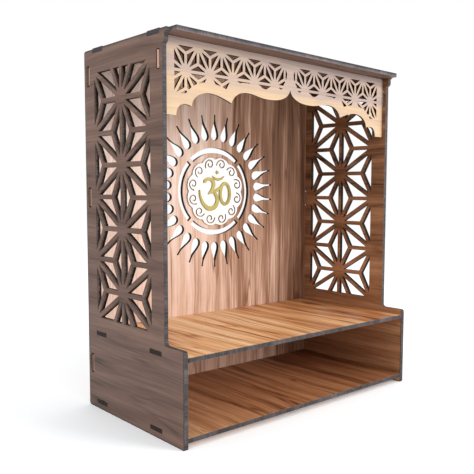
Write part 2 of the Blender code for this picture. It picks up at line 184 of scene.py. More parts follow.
def slabNodes(tree, curves, thickness):
    # fills the loops, inner ones as holes, and gives the sheet its thickness about its middle
    sheet = geoNode(tree, "FillCurve", {"Curve": curves}, mode="NGONS")
    up = vectorNode(tree, z=1.0)
    walls = geoNode(
        tree, "ExtrudeMesh",
        {"Mesh": sheet, "Offset": up, "Offset Scale": thickness, "Individual": False},
    )
    under = geoNode(tree, "FlipFaces", {"Mesh": sheet})
    joined = geoNode(tree, "JoinGeometry", {"Geometry": [walls, under]})
    weld = sheetSettings["weld"]
    merged = geoNode(tree, "MergeByDistance", {"Geometry": joined, "Distance": weld})
    half = mathNode(tree, "MULTIPLY", thickness, -0.5)
    return movedNode(tree, merged, shift=vectorNode(tree, z=half))


def finishNodes(tree, geometry, source, sink):
    # walls of holes are burnt, darker than the outline's as painted shade inside the holes, and the
    # two faces are laminate
    real = geoNode(tree, "RealizeInstances", {"Geometry": geometry})
    edged = geoNode(tree, "SetMaterial", {"Geometry": real, "Material": source["Edge"]})
    firstLoop = mathNode(tree, "LESS_THAN", geoNode(tree, "InputIndex"), 0.5)
    outline = geoNode(
        tree, "SeparateGeometry", {"Geometry": source["Geometry"], "Selection": firstLoop},
        domain="CURVE",
    )
    outline = geoNode(tree, "CurveToMesh", {"Curve": outline})
    flattened = addNode(tree, "ShaderNodeVectorMath", {
        0: geoNode(tree, "InputPosition"), 1: (1, 1, 0),
    }, operation="MULTIPLY").outputs[0]
    distance = addNode(
        tree, "GeometryNodeProximity", {0: outline, "Sample Position": flattened},
        target_element="EDGES",
    ).outputs["Distance"]
    inside = mathNode(tree, "GREATER_THAN", distance, sheetSettings["onOutline"])
    edged = geoNode(
        tree, "SetMaterial", {"Geometry": edged, "Selection": inside, "Material": source["Cut"]}
    )
    normal = geoNode(tree, "InputNormal")
    level = addNode(tree, "ShaderNodeSeparateXYZ", {0: normal}).outputs["Z"]
    flat = mathNode(tree, "GREATER_THAN", mathNode(tree, "ABSOLUTE", level), 0.5)
    faced = geoNode(
        tree, "SetMaterial", {"Geometry": edged, "Selection": flat, "Material": source["Face"]}
    )
    tree.links.new(faced, sink.inputs[0])


def latticeTree():
    tree, source, sink = startTree("starLatticeBoard", {
        "Thickness": "Float", "Pitch": "Float", "Bar": "Float", "Turn": "Float", "Hub": "Vector",
        "Columns": "Int", "Rows": "Int", "Window": "Object", "Both Halves": "Bool",
        "Smallest Hole": "Float", "Face": "Material", "Edge": "Material", "Cut": "Material",
    })
    pitch, root3 = source["Pitch"], math.sqrt(3)
    depth = mathNode(tree, "MULTIPLY", source["Thickness"], 3.0)

    # one leaf: a three-sided prism, flattened to 30-30-120 degrees and drawn in by half a bar
    radius = mathNode(tree, "DIVIDE", pitch, root3)
    inner = mathNode(tree, "DIVIDE", pitch, 2 * (root3 + 2))
    share = mathNode(tree, "DIVIDE", mathNode(tree, "MULTIPLY", source["Bar"], 0.5), inner)
    shrink = mathNode(tree, "SUBTRACT", 1.0, share)
    prism = addNode(
        tree, "GeometryNodeMeshCylinder", {"Vertices": 3, "Radius": radius, "Depth": depth}
    ).outputs[0]
    leaf = movedNode(tree, prism, turn=(0, 0, math.pi / 2))
    leaf = movedNode(tree, leaf, scale=(1, 1 / 3, 1))
    lift = mathNode(tree, "SUBTRACT", mathNode(tree, "DIVIDE", radius, 6.0), inner)
    leaf = movedNode(tree, leaf, shift=vectorNode(tree, y=lift))
    leaf = movedNode(tree, leaf, scale=vectorNode(tree, shrink, shrink, 1.0))
    half = mathNode(tree, "MULTIPLY", pitch, 0.5)
    leaf = movedNode(tree, leaf, shift=vectorNode(tree, half, inner))
    twin = movedNode(tree, leaf, shift=vectorNode(tree, pitch), turn=(0, 0, math.pi))
    pair = geoNode(tree, "JoinGeometry", {"Geometry": [leaf, twin]})
    turned = [movedNode(tree, pair, turn=(0, 0, math.radians(60 * k))) for k in range(3)]
    star = geoNode(tree, "JoinGeometry", {"Geometry": turned})

    # hubs on a grid of triangles, counted off by their index
    columns, rows = source["Columns"], source["Rows"]
    index = geoNode(tree, "InputIndex")
    row = mathNode(tree, "FLOOR", mathNode(tree, "DIVIDE", index, columns))
    column = mathNode(tree, "MODULO", index, columns)
    middleColumn = mathNode(tree, "FLOOR", mathNode(tree, "MULTIPLY", columns, 0.5))
    middleRow = mathNode(tree, "FLOOR", mathNode(tree, "MULTIPLY", rows, 0.5))
    acrossRow = mathNode(tree, "SUBTRACT", row, middleRow)
    odd = mathNode(tree, "MULTIPLY", mathNode(tree, "PINGPONG", acrossRow, 1.0), 0.5)
    across = mathNode(tree, "ADD", mathNode(tree, "SUBTRACT", column, middleColumn), odd)
    x = mathNode(tree, "MULTIPLY", across, pitch)
    y = mathNode(tree, "MULTIPLY", mathNode(tree, "MULTIPLY", acrossRow, root3 / 2), pitch)
    count = mathNode(tree, "MULTIPLY", columns, rows)
    points = geoNode(tree, "Points", {"Count": count, "Position": vectorNode(tree, x, y)})
    stars = geoNode(tree, "InstanceOnPoints", {"Points": points, "Instance": star})
    stars = geoNode(tree, "RealizeInstances", {"Geometry": stars})
    turn = vectorNode(tree, z=source["Turn"])
    stars = movedNode(tree, stars, shift=source["Hub"], turn=turn)

    # the window cuts the leaves off, and slivers are left uncut
    window = addNode(
        tree, "GeometryNodeObjectInfo", {"Object": source["Window"]}, transform_space="ORIGINAL"
    ).outputs["Geometry"]
    cuts = geoNode(tree, "MeshBoolean", {"Mesh 2": [stars, window]}, operation="INTERSECT")
    level = addNode(tree, "ShaderNodeSeparateXYZ", {0: geoNode(tree, "InputNormal")}).outputs["Z"]
    notTop = mathNode(tree, "LESS_THAN", level, 0.5)
    cuts = geoNode(tree, "DeleteGeometry", {"Geometry": cuts, "Selection": notTop}, domain="FACE")
    area = addNode(tree, "GeometryNodeAccumulateField", {
        "Value": geoNode(tree, "InputMeshFaceArea"), "Group ID": geoNode(tree, "InputMeshIsland"),
    }, domain="FACE").outputs["Total"]
    sliver = mathNode(tree, "LESS_THAN", area, source["Smallest Hole"])
    cuts = geoNode(tree, "DeleteGeometry", {"Geometry": cuts, "Selection": sliver}, domain="FACE")

    # what is left of each leaf is a loop of its own in the sheet
    sides = geoNode(tree, "InputMeshEdgeNeighbors")
    rim = mathNode(tree, "LESS_THAN", sides, 1.5)
    loops = geoNode(tree, "MeshToCurve", {"Mesh": cuts, "Selection": rim})
    mirrored = movedNode(tree, loops, scale=(-1, 1, 1))
    both = geoNode(tree, "JoinGeometry", {"Geometry": [loops, mirrored]})
    loops = geoNode(
        tree, "Switch", {"Switch": source["Both Halves"], "False": loops, "True": both},
        input_type="GEOMETRY",
    )
    joined = geoNode(tree, "JoinGeometry", {"Geometry": [source["Geometry"], loops]})
    finishNodes(tree, slabNodes(tree, joined, source["Thickness"]), source, sink)
    return tree


def piercedTree():
    tree, source, sink = startTree("piercedBoard", {
        "Thickness": "Float", "Centre": "Vector",
        "First Cut": "Object", "First Count": "Int", "First Turn": "Float",
        "Second Cut": "Object", "Second Count": "Int", "Second Turn": "Float",
        "Face": "Material", "Edge": "Material", "Cut": "Material",
    })
    loops = [source["Geometry"]]
    for which in ("First", "Second"):
        count = source[which + " Count"]
        shape = addNode(
            tree, "GeometryNodeObjectInfo", {"Object": source[which + " Cut"]},
            transform_space="ORIGINAL",
        ).outputs["Geometry"]
        points = geoNode(tree, "Points", {"Count": count})
        place = mathNode(tree, "ADD", geoNode(tree, "InputIndex"), source[which + " Turn"])
        step = mathNode(tree, "DIVIDE", 2 * math.pi, count)
        angle = vectorNode(tree, z=mathNode(tree, "MULTIPLY", place, step))
        ring = geoNode(
            tree, "InstanceOnPoints", {"Points": points, "Instance": shape, "Rotation": angle}
        )
        ring = geoNode(tree, "RealizeInstances", {"Geometry": ring})
        loops.append(movedNode(tree, ring, shift=source["Centre"]))
    joined = geoNode(tree, "JoinGeometry", {"Geometry": loops})
    finishNodes(tree, slabNodes(tree, joined, source["Thickness"]), source, sink)
    return tree


def growPiece(name, base, tree, values, place):
    modifier = base.modifiers.new(name, "NODES")
    modifier.node_group = tree
    for item in tree.interface.items_tree:
        if item.in_out == "INPUT" and item.name in values:
            modifier[item.identifier] = values[item.name]
    graph = bpy.context.evaluated_depsgraph_get()
    mesh = bpy.data.meshes.new_from_object(base.evaluated_get(graph), depsgraph=graph)
    base.modifiers.remove(modifier)
    return standPiece(name, mesh, place, sheetSettings["arris"])


def standPiece(name, mesh, place, arris):
    # the place goes into the mesh, so that the object stays at the origin
    mesh.name = name
    mesh.transform(place)
    crease = math.radians(sheetSettings["smoothBelow"])
    shape = bmesh.new()
    shape.from_mesh(mesh)
    bmesh.ops.recalc_face_normals(shape, faces=shape.faces)
    for face in shape.faces:
        face.smooth = True
    for edge in shape.edges:
        edge.smooth = edge.calc_face_angle(0) < crease
    shape.to_mesh(mesh)
    shape.free()
    piece = bpy.data.objects.new(name, mesh)
    scene.collection.objects.link(piece)
    soften = piece.modifiers.new("softArris", "BEVEL")
    soften.width = arris
    soften.segments = 2
    soften.limit_method = "ANGLE"
    soften.angle_limit = math.radians(sheetSettings["softenAbove"])
    soften.harden_normals = True
    print(f"{name}: {len(mesh.polygons)} faces")
    return piece


def dropHelpers(*helpers):
    for helper in helpers:
        bpy.data.objects.remove(helper, do_unlink=True)


# Where each sheet stands: its middle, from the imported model

def middleOf(node, axis):
    low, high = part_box(node)
    return (low[axis] + high[axis]) / 2


def facingSide(node):
    return Matrix(((0, 0, 1, middleOf(node, 0)), (1, 0, 0, 0), (0, 1, 0, 0), (0, 0, 0, 1)))


def facingFront(node):
    return Matrix.Translation((0, middleOf(node, 1), 0)) @ Matrix.Rotation(math.pi / 2, 4, "X")


def lying(node):
    return Matrix.Translation((0, 0, middleOf(node, 2)))


# Materials

noiseBand = (0.3, 0.7)  # most of a noise's values lie between these


def startMaterial(name):
    material = bpy.data.materials.new(name)
    material.use_nodes = True
    tree = material.node_tree
    return material, tree, tree.nodes["Principled BSDF"]


def shaderNode(tree, kind, inputs=None, **settings):
    return addNode(tree, "ShaderNode" + kind, inputs, **settings)


def objectPlace(tree):
    # the object coordinates, whole and as three numbers
    where = shaderNode(tree, "TexCoord").outputs["Object"]
    return where, shaderNode(tree, "SeparateXYZ", {0: where}).outputs


def stretchNode(tree, vector, factors):
    inputs = {0: vector, 1: factors}
    return shaderNode(tree, "VectorMath", inputs, operation="MULTIPLY").outputs[0]


def linkBump(tree, shader, height, strength, distance):
    inputs = {"Height": height, "Strength": strength, "Distance": distance}
    bump = shaderNode(tree, "Bump", inputs)
    tree.links.new(bump.outputs[0], shader.inputs["Normal"])


def noiseNode(tree, vector, scale, detail=2.0, roughness=0.5, distortion=0.0):
    inputs = {
        "Vector": vector, "Scale": scale, "Detail": detail,
        "Roughness": roughness, "Distortion": distortion,
    }
    return shaderNode(tree, "TexNoise", inputs).outputs[0]


def rangeNode(tree, value, low, high, toLow=0.0, toHigh=1.0):
    inputs = {"Value": value, "From Min": low, "From Max": high, "To Min": toLow, "To Max": toHigh}
    return shaderNode(tree, "MapRange", inputs).outputs[0]


def rampNode(tree, value, stops):
    node = shaderNode(tree, "ValToRGB", {"Fac": value})
    ramp = node.color_ramp
    while len(ramp.elements) < len(stops):
        ramp.elements.new(0.5)
    for element, (place, colour) in zip(ramp.elements, stops):
        element.position = place
        element.color = (*colour, 1.0)
    return node.outputs[0]


def mixNode(tree, share, first, second):
    node = shaderNode(tree, "Mix", data_type="RGBA")
    for socket, value in ((node.inputs[0], share), (node.inputs[6], first), (node.inputs[7], second)):
        if isinstance(value, bpy.types.NodeSocket):
            tree.links.new(value, socket)
        elif socket.type == "RGBA":
            socket.default_value = (*value, 1.0)
        else:
            socket.default_value = value
    return node.outputs[2]


def shade(red, green, blue):
    # a colour as seen on a screen, 0 to 255, made linear
    def linear(value):
        value /= 255
        return value / 12.92 if value <= 0.04045 else ((value + 0.055) / 1.055) ** 2.4
    return tuple(linear(value) for value in (red, green, blue))


# each layer of the figure: its stretch along and across the grain, then detail, roughness and
# distortion of its noise
woodLayers = {
    "streak": ((3.5, 110.0), (6.0, 0.66, 0.3)),
    "broad": ((1.6, 11.0), (3.0, 0.55, 0.5)),
    "vein": ((1.8, 34.0), (2.0, 0.5, 0.4)),
    "fibre": ((9.0, 420.0), (3.0, 0.6)),
    "pore": ((26.0, 1100.0), (2.0, 0.6)),
}
woodSettings = {
    "poreFrom": 0.60, "poreTo": 0.72, "veinHalf": 0.022, "firstStop": 0.12, "stopSpan": 0.76,
    "rimCore": 0.4, "rougher": 0.06, "smoother": 0.05, "ridge": 0.3, "bump": 0.25,
    "bumpDepth": 0.00006,
}


def scorchAndShadeMask(tree, parts, node, axes, rim):
    # 1 along the sheet's outer edges, fading to 0 a rim's width in; it darkens the faces there as
    # laser scorch together with painted shade along the edges
    low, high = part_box(node)
    margins = []
    for axis in axes:
        off = mathNode(tree, "SUBTRACT", parts[axis], middleOf(node, axis))
        half = (high[axis] - low[axis]) / 2
        margins.append(mathNode(tree, "SUBTRACT", half, mathNode(tree, "ABSOLUTE", off)))
    nearest = mathNode(tree, "MINIMUM", *margins)
    return rangeNode(tree, nearest, rim * woodSettings["rimCore"], rim, 1.0, 0.0)


def woodLaminate(name, node, grain, across, offset, colours, look):
    material, tree, shader = startMaterial(name)
    s, parts = woodSettings, objectPlace(tree)[1]

    # (along the grain, across it, zero), shifted for each board, with slow bends of the lines
    along = mathNode(tree, "ADD", parts[grain], offset[0])
    over = mathNode(tree, "ADD", parts[across], offset[1])
    board = vectorNode(tree, along, over)
    bend = noiseNode(tree, stretchNode(tree, board, (look["bendAlong"], look["bendAcross"], 1)), 1.0)
    push = mathNode(tree, "MULTIPLY", mathNode(tree, "SUBTRACT", bend, 0.5), look["bend"])
    bent = shaderNode(tree, "VectorMath", {0: board, 1: vectorNode(tree, y=push)}).outputs[0]

    # noises and a flame figure, each stretched along the grain
    layers = {}
    for part, (stretch, noise) in woodLayers.items():
        layers[part] = noiseNode(tree, stretchNode(tree, bent, (*stretch, 1)), 1.0, *noise)
    layers["flame"] = shaderNode(tree, "TexWave", {
        "Vector": stretchNode(tree, bent, (look["flameAlong"], 1.0, 1)),
        "Scale": look["flameScale"], "Distortion": 7.0, "Detail": 4.0, "Detail Scale": 1.4,
        "Detail Roughness": 0.65,
    }, wave_type="RINGS", rings_direction="Z").outputs["Fac"]
    poreMask = rangeNode(tree, layers["pore"], s["poreFrom"], s["poreTo"])
    fromVein = mathNode(tree, "ABSOLUTE", mathNode(tree, "SUBTRACT", layers["vein"], 0.5))
    veinMask = rangeNode(tree, fromVein, s["veinHalf"], 0.0)

    # the tone is a sum of centred layers, and a board may grow darker from one side to the other:
    # painted shade on the back panel, the right panel and the valance, and a plain darkening to the
    # right on the shelf and base
    side = mathNode(tree, "SUBTRACT", parts[across], middleOf(node, across))
    tone = mathNode(tree, "MULTIPLY", side, look["shadeAndToneDrift"])
    for part in ("flame", "streak", "broad", "fibre"):
        centred = mathNode(tree, "SUBTRACT", layers[part], 0.5)
        tone = mathNode(tree, "ADD", tone, mathNode(tree, "MULTIPLY", centred, look[part]))
    tone = mathNode(tree, "SUBTRACT", tone, mathNode(tree, "MULTIPLY", veinMask, look["vein"]))
    tone = mathNode(tree, "ADD", tone, 0.5)
    gap = s["stopSpan"] / (len(colours) - 1)
    stops = [(s["firstStop"] + gap * k, colour) for k, colour in enumerate(colours)]
    colour = rampNode(tree, tone, stops)
    darker = mathNode(tree, "MULTIPLY", poreMask, look["pore"])
    colour = mixNode(tree, darker, colour, colours[0])
    # a darker rim along the outer edges: laser scorch and painted shade
    if look["rim"]:
        rimScorchAndShade = scorchAndShadeMask(tree, parts, node, (grain, across), look["rim"])
        rimScorchAndShade = mathNode(tree, "MULTIPLY", rimScorchAndShade, look["scorchAndShade"])
        colour = mixNode(tree, rimScorchAndShade, colour, edgeColours[0])
    tree.links.new(colour, shader.inputs["Base Color"])

    roughest, smoothest = look["roughness"] + s["rougher"], look["roughness"] - s["smoother"]
    rough = rangeNode(tree, layers["streak"], *noiseBand, roughest, smoothest)
    tree.links.new(rough, shader.inputs["Roughness"])
    ridges = mathNode(tree, "MULTIPLY", layers["streak"], s["ridge"])
    height = mathNode(tree, "SUBTRACT", ridges, poreMask)
    linkBump(tree, shader, height, s["bump"], s["bumpDepth"])
    shader.inputs["Specular IOR Level"].default_value = look["specular"]
    return material


charSettings = {
    "lineScale": 900.0, "lineThrough": 60.0, "lineShare": 0.55, "patchScale": 45.0,
    "patchShare": 0.45, "noise": (3.0, 0.6), "coreStops": (0.34, 0.5, 0.68),
    "endStops": (0.3, 0.7), "skinFrom": 0.00055, "skinTo": 0.00025, "flush": 0.0002,
    "roughness": (0.72, 0.5), "bump": 0.5, "bumpDepth": 0.00012, "specular": 0.12,
}


def charredEdge(name, node, axis, char):
    # burnt fibreboard with fine lines across the cut, and the laminate as a paler line at each face;
    # a lean makes the colour fade from one face to the other, which on the left panel's hole walls is
    # painted light falling in from the outer face
    material, tree, shader = startMaterial(name)
    s, (where, parts) = charSettings, objectPlace(tree)
    low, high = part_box(node)
    thickness = high[axis] - low[axis]
    stretch = [s["lineScale"]] * 3
    stretch[axis] = s["lineThrough"]
    lines = noiseNode(tree, stretchNode(tree, where, tuple(stretch)), 1.0, *s["noise"])
    patches = noiseNode(tree, where, s["patchScale"], *s["noise"])
    lineTone = mathNode(tree, "MULTIPLY", lines, s["lineShare"])
    tone = mathNode(tree, "ADD", lineTone, mathNode(tree, "MULTIPLY", patches, s["patchShare"]))
    depth = mathNode(tree, "SUBTRACT", parts[axis], middleOf(node, axis))
    fade = mathNode(tree, "MULTIPLY", depth, char["lean"] / thickness)
    leaning = mathNode(tree, "ADD", tone, fade)
    core = rampNode(tree, leaning, list(zip(s["coreStops"], char["colours"])))
    away = mathNode(tree, "ABSOLUTE", depth)
    half = thickness / 2
    atSkin = rangeNode(tree, away, half - s["skinFrom"], half - s["skinTo"])
    colour = mixNode(tree, atSkin, core, char["skin"])
    if char["ends"]:
        # the ends of the tabs, flush with the side panels
        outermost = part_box("left_side_panel")[0][0]
        reach = mathNode(tree, "ABSOLUTE", parts[0])
        atEnd = mathNode(tree, "GREATER_THAN", reach, abs(outermost) - s["flush"])
        streaked = rampNode(tree, tone, list(zip(s["endStops"], char["ends"])))
        colour = mixNode(tree, atEnd, colour, streaked)
    tree.links.new(colour, shader.inputs["Base Color"])
    rough = rangeNode(tree, lines, *noiseBand, *s["roughness"])
    tree.links.new(rough, shader.inputs["Roughness"])
    linkBump(tree, shader, tone, s["bump"], s["bumpDepth"])
    shader.inputs["Specular IOR Level"].default_value = s["specular"]
    return material


# one walnut laminate in lit and shaded copies: greyWalnut is greyed as painted sheen on the outer
# faces, warmWalnut warmed as painted bounce light on the right panel
greyWalnut = [shade(60, 40, 30), shade(89, 64, 53), shade(107, 80, 68), shade(124, 95, 81),
              shade(150, 120, 105)]
warmWalnut = [shade(64, 38, 26), shade(114, 75, 50), shade(146, 101, 69), shade(172, 124, 89),
              shade(200, 154, 117)]
paleWalnut = [shade(98, 64, 46), shade(154, 112, 86), shade(218, 182, 160), shade(238, 213, 200),
              shade(244, 227, 218)]
amberWalnut = [shade(118, 64, 34), shade(182, 116, 68), shade(224, 165, 108), shade(238, 196, 150),
               shade(248, 222, 190)]
ruddyWalnut = [shade(92, 52, 32), shade(136, 88, 56), shade(166, 114, 76), shade(190, 140, 102),
               shade(218, 176, 138)]
palestMaple = [shade(142, 124, 120), shade(170, 149, 138), shade(198, 168, 134),
               shade(209, 186, 153)]
edgeColours = [shade(40, 37, 37), shade(70, 66, 67), shade(102, 97, 98)]
brownEnds = (shade(78, 52, 38), shade(120, 86, 64))
darkEnds = (shade(22, 16, 15), shade(54, 42, 38))
greyEnds = (shade(44, 40, 43), shade(84, 78, 83))
paleEnds = (shade(178, 132, 112), shade(212, 170, 146))

# outer edges, with the ends of their tabs
plainEdge = {"colours": edgeColours, "skin": shade(96, 80, 70), "ends": darkEnds, "lean": 0.0}
roofEdge = {
    **plainEdge, "colours": [shade(42, 41, 44), shade(80, 76, 79), shade(116, 105, 105)],
    "ends": greyEnds, "lean": -0.35,
}
backEdge = {**plainEdge, "ends": brownEnds}
valanceEdge = {**plainEdge, "ends": paleEnds}

# walls of holes: burnt, and darker than the outer edges as painted shade inside the holes
plainCut = {
    "colours": [shade(10, 8, 7), shade(24, 19, 17), shade(42, 34, 30)],
    "skin": shade(46, 32, 26), "ends": None, "lean": 0.0,
}
# the left panel's hole walls are paler towards the outer face: painted light falling into the holes,
# with painted shade deeper in
leftCut = {
    **plainCut, "colours": [shade(14, 11, 10), shade(34, 28, 26), shade(98, 86, 80)],
    "lean": -0.6,
}

walnutLook = {
    "bendAlong": 5.0, "bendAcross": 9.0, "bend": 0.018, "flameAlong": 0.16, "flameScale": 11.0,
    "flame": 0.16, "streak": 0.55, "broad": 0.65, "fibre": 0.45, "vein": 0.16, "pore": 0.5,
    "roughness": 0.46, "specular": 0.25, "shadeAndToneDrift": 0.0, "rim": 0.0, "scorchAndShade": 0.0,
}
# the side panels' faces darken along their outer edges: laser scorch and painted shade
leftLook = {**walnutLook, "rim": 0.0026, "scorchAndShade": 0.75}
# the right panel grows darker towards its top: painted shade
rightLook = {**leftLook, "shadeAndToneDrift": -0.6}
# the back panel grows darker towards its right side: painted shade of the right panel's shadow
backLook = {**walnutLook, "shadeAndToneDrift": -1.1, "flame": 0.10, "vein": 0.14, "streak": 0.45}
shelfLook = {
    **walnutLook, "streak": 0.9, "broad": 0.9, "vein": 0.3, "specular": 0.4, "shadeAndToneDrift": -0.8,
}
# the valance grows darker and greyer towards its top: painted shade under the roof
mapleLook = {
    "bendAlong": 4.0, "bendAcross": 8.0, "bend": 0.010, "flameAlong": 0.12, "flameScale": 9.0,
    "flame": 0.12, "streak": 0.45, "broad": 0.5, "fibre": 0.4, "vein": 0.12, "pore": 0.25,
    "roughness": 0.5, "specular": 0.2, "shadeAndToneDrift": -4.0, "rim": 0.0, "scorchAndShade": 0.0,
}


def boardFinishes(node, grain, across, offset, colours, look, axis, edge, cut=plainCut):
    return {
        "Face": woodLaminate(node + "Face", node, grain, across, offset, colours, look),
        "Edge": charredEdge(node + "Edge", node, axis, edge),
        "Cut": charredEdge(node + "Cut", node, axis, cut),
    }


# Side panels

sideSettings = {
    "height": 0.500, "upperDepth": 0.198, "lowerDepth": 0.240, "ledge": 0.120,
    "board": 0.006, "gap": 0.0003, "underRoof": 0.4947, "corner": 0.004, "ledgeCorner": 0.005,
    "earReach": 0.0092, "earHeight": 0.0180, "earLip": 0.0025, "earNeck": 0.0046,
    "earNeckStart": 0.0070, "earNeckEnd": 0.0128, "earFootShare": 0.3, "earFootPull": 0.0010,
    "tabDepths": (0.038, 0.178), "tabLength": 0.027, "boardHeights": (0.011, 0.109),
    "backTabDepth": 0.0105, "backTabHeights": (0.063, 0.2988, 0.465), "backTabLength": 0.024,
    "backSlot": (0.0092, 0.0284), "valanceDepth": 0.189, "valanceTabHeight": 0.4653,
    "valanceSlot": (0.0084, 0.0246), "backSlotRound": 0.45, "valanceSlotRound": 0.4,
    "windowDepths": (0.028, 0.170), "windowHeights": (0.132, 0.468), "windowThickness": 0.02,
    "pitch": 0.0855, "bar": 0.0064, "columns": 9, "rows": 11, "smallestHole": 0.000006,
}


def sideLoops(s, rear):

    def ear(reach, drop):
        return (s["upperDepth"] + reach, s["height"] - drop)

    # the bracket flares out at its lip, runs straight down its neck and sweeps in to its foot
    reach, lip, neck = s["earReach"], s["earLip"], s["earNeck"]
    start, end, foot = s["earNeckStart"], s["earNeckEnd"], s["earHeight"]
    path = [ear(reach, 0), ear(reach, lip)]
    halfway = (lip + start) / 2
    path += bezierPoints(
        path[-1], ear(reach, halfway), ear(neck, halfway), ear(neck, start), steps=10)
    path.append(ear(neck, end))
    nearFoot = ear(neck * s["earFootShare"], foot - s["earFootPull"])
    halfway = (end + foot) / 2
    path += bezierPoints(path[-1], ear(neck, halfway), nearFoot, ear(0, foot), steps=12)
    step = roundedLoop([
        (*path[-1], 0), (s["upperDepth"], s["ledge"], s["ledgeCorner"]),
        (s["lowerDepth"], s["ledge"], s["corner"]), (s["lowerDepth"], 0, s["corner"] / 2),
        (0, 0, s["corner"]), (0, s["height"], s["corner"]), (s["upperDepth"], s["height"], 0),
    ])
    path += step[1:-1]
    for middle in s["tabDepths"]:
        start = middle - s["tabLength"] / 2 - s["gap"]
        end = middle + s["tabLength"] / 2 + s["gap"]
        path += [(start, s["height"]), (start, s["underRoof"])]
        path += [(end, s["underRoof"]), (end, s["height"])]
    thick = s["board"] + 2 * s["gap"]
    loops = [path]
    for depth in s["tabDepths"]:
        for height in s["boardHeights"]:
            loops.append(slotLoop((depth, height), s["tabLength"] + 2 * s["gap"], thick))
    radius = s["backSlot"][0] * s["backSlotRound"]
    for height in s["backTabHeights"]:
        loops.append(slotLoop((s["backTabDepth"], height), *s["backSlot"], radius))
    middle = (s["valanceDepth"], s["valanceTabHeight"])
    radius = s["valanceSlot"][0] * s["valanceSlotRound"]
    loops.append(slotLoop(middle, *s["valanceSlot"], radius))
    return [[(rear - depth, height) for depth, height in loop] for loop in loops]


def prismObject(name, loop, depth):
    shape = bmesh.new()
    face = shape.faces.new([shape.verts.new((x, y, -depth / 2)) for x, y in loop])
    grown = bmesh.ops.extrude_face_region(shape, geom=[face])
    lifted = [part for part in grown["geom"] if isinstance(part, bmesh.types.BMVert)]
    bmesh.ops.translate(shape, verts=lifted, vec=(0, 0, depth))
    bmesh.ops.recalc_face_normals(shape, faces=shape.faces)
    mesh = bpy.data.meshes.new(name)
    shape.to_mesh(mesh)
    shape.free()
    helper = bpy.data.objects.new(name, mesh)
    scene.collection.objects.link(helper)
    return helper


def buildSidePanels(s, tree):
    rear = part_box("left_side_panel")[1][1]
    near, far = rear - s["windowDepths"][0], rear - s["windowDepths"][1]
    low, high = s["windowHeights"]
    corners = [(far, low), (near, low), (near, high), (far, high)]
    window = prismObject("sideWindow", corners, s["windowThickness"])
    outline = loopsObject("sideOutline", sideLoops(s, rear))
    hub = ((near + far) / 2, (low + high) / 2 + s["pitch"] / 2, 0)
    for node, name, offset, colours, look, cut in (
        ("left_side_panel", "leftSidePanel", (0.31, 0.12), greyWalnut, leftLook, leftCut),
        ("right_side_panel", "rightSidePanel", (1.87, 0.55), warmWalnut, rightLook, plainCut),
    ):
        finishes = boardFinishes(node, 1, 2, offset, colours, look, 0, plainEdge, cut)
        piece = growPiece(name, outline, tree, {
            "Thickness": s["board"], "Pitch": s["pitch"], "Bar": s["bar"], "Turn": math.pi / 6,
            "Hub": hub, "Columns": s["columns"], "Rows": s["rows"], "Window": window,
            "Both Halves": False, "Smallest Hole": s["smallestHole"], **finishes,
        }, facingSide(node))
        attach(piece, "root")
        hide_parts(node)
    dropHelpers(window, outline)
    print("side panels done")


# Back panel with the sun

sunSettings = {
    "height": 0.3089, "rayCount": 30, "rayInner": 0.0824, "rayLength": 0.0410,
    "rayBelly": 0.0146, "rayTail": 0.0026, "bellyAt": 0.20, "tailFrom": 0.80,
    "raySteps": 40, "rayPacking": 1.6, "raySwell": 1.6, "rayTaper": 0.3,
    "ringInner": 0.0622, "ringOuter": 0.0706, "bridge": 0.0062, "ringCount": 4, "ringSteps": 36,
}


def rayLoop(s):
    upper = []
    for step in range(s["raySteps"] + 1):
        share = (step / s["raySteps"]) ** s["rayPacking"]
        if share <= s["bellyAt"]:
            width = s["rayBelly"] * math.sqrt(1 - (1 - share / s["bellyAt"]) ** 2)
        else:
            fall = min(1, (share - s["bellyAt"]) / (s["tailFrom"] - s["bellyAt"]))
            swell = math.cos(fall * math.pi / 2) ** s["raySwell"] * (1 - fall * s["rayTaper"])
            width = s["rayTail"] + (s["rayBelly"] - s["rayTail"]) * swell
        upper.append((s["rayInner"] + share * s["rayLength"], width / 2))
    return upper + [(x, -y) for x, y in reversed(upper[1:])]


def ringLoop(s):
    halfTurn = math.pi / s["ringCount"]
    outerEnd = halfTurn - math.asin(s["bridge"] / 2 / s["ringOuter"])
    innerEnd = halfTurn - math.asin(s["bridge"] / 2 / s["ringInner"])
    outside = arcPoints((0, 0), s["ringOuter"], -outerEnd, outerEnd, s["ringSteps"])
    return outside + arcPoints((0, 0), s["ringInner"], innerEnd, -innerEnd, s["ringSteps"])


def tabbedLoop(boardEnd, outside, low, high, places, length):
    right = [(boardEnd, low)]
    for place in sorted(places):
        start, end = place - length / 2, place + length / 2
        right += [(boardEnd, start), (outside, start), (outside, end), (boardEnd, end)]
    right.append((boardEnd, high))
    return right + [(-x, y) for x, y in reversed(right)]


def buildBackPanel(s, sun, tree):
    low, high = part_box("back_panel")
    boardEnd = high[0] - s["board"] - s["gap"]
    loop = tabbedLoop(
        boardEnd, high[0], low[2], high[2], s["backTabHeights"], s["backTabLength"])
    outline = loopsObject("backOutline", [loop])
    ray, ring = loopsObject("ray", [rayLoop(sun)]), loopsObject("ring", [ringLoop(sun)])
    finishes = boardFinishes(
        "back_panel", 2, 0, (0.62, 1.31), paleWalnut, backLook, 1, backEdge)
    piece = growPiece("backPanel", outline, tree, {
        "Thickness": s["board"], "Centre": (0, sun["height"], 0), "First Cut": ray,
        "First Count": sun["rayCount"], "First Turn": 0.5, "Second Cut": ring,
        "Second Count": sun["ringCount"], "Second Turn": 0.0, **finishes,
    }, facingFront("back_panel"))
    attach(piece, "root")
    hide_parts("back_panel")
    dropHelpers(outline, ray, ring)
    print("back panel done")


# Roof, shelf and base

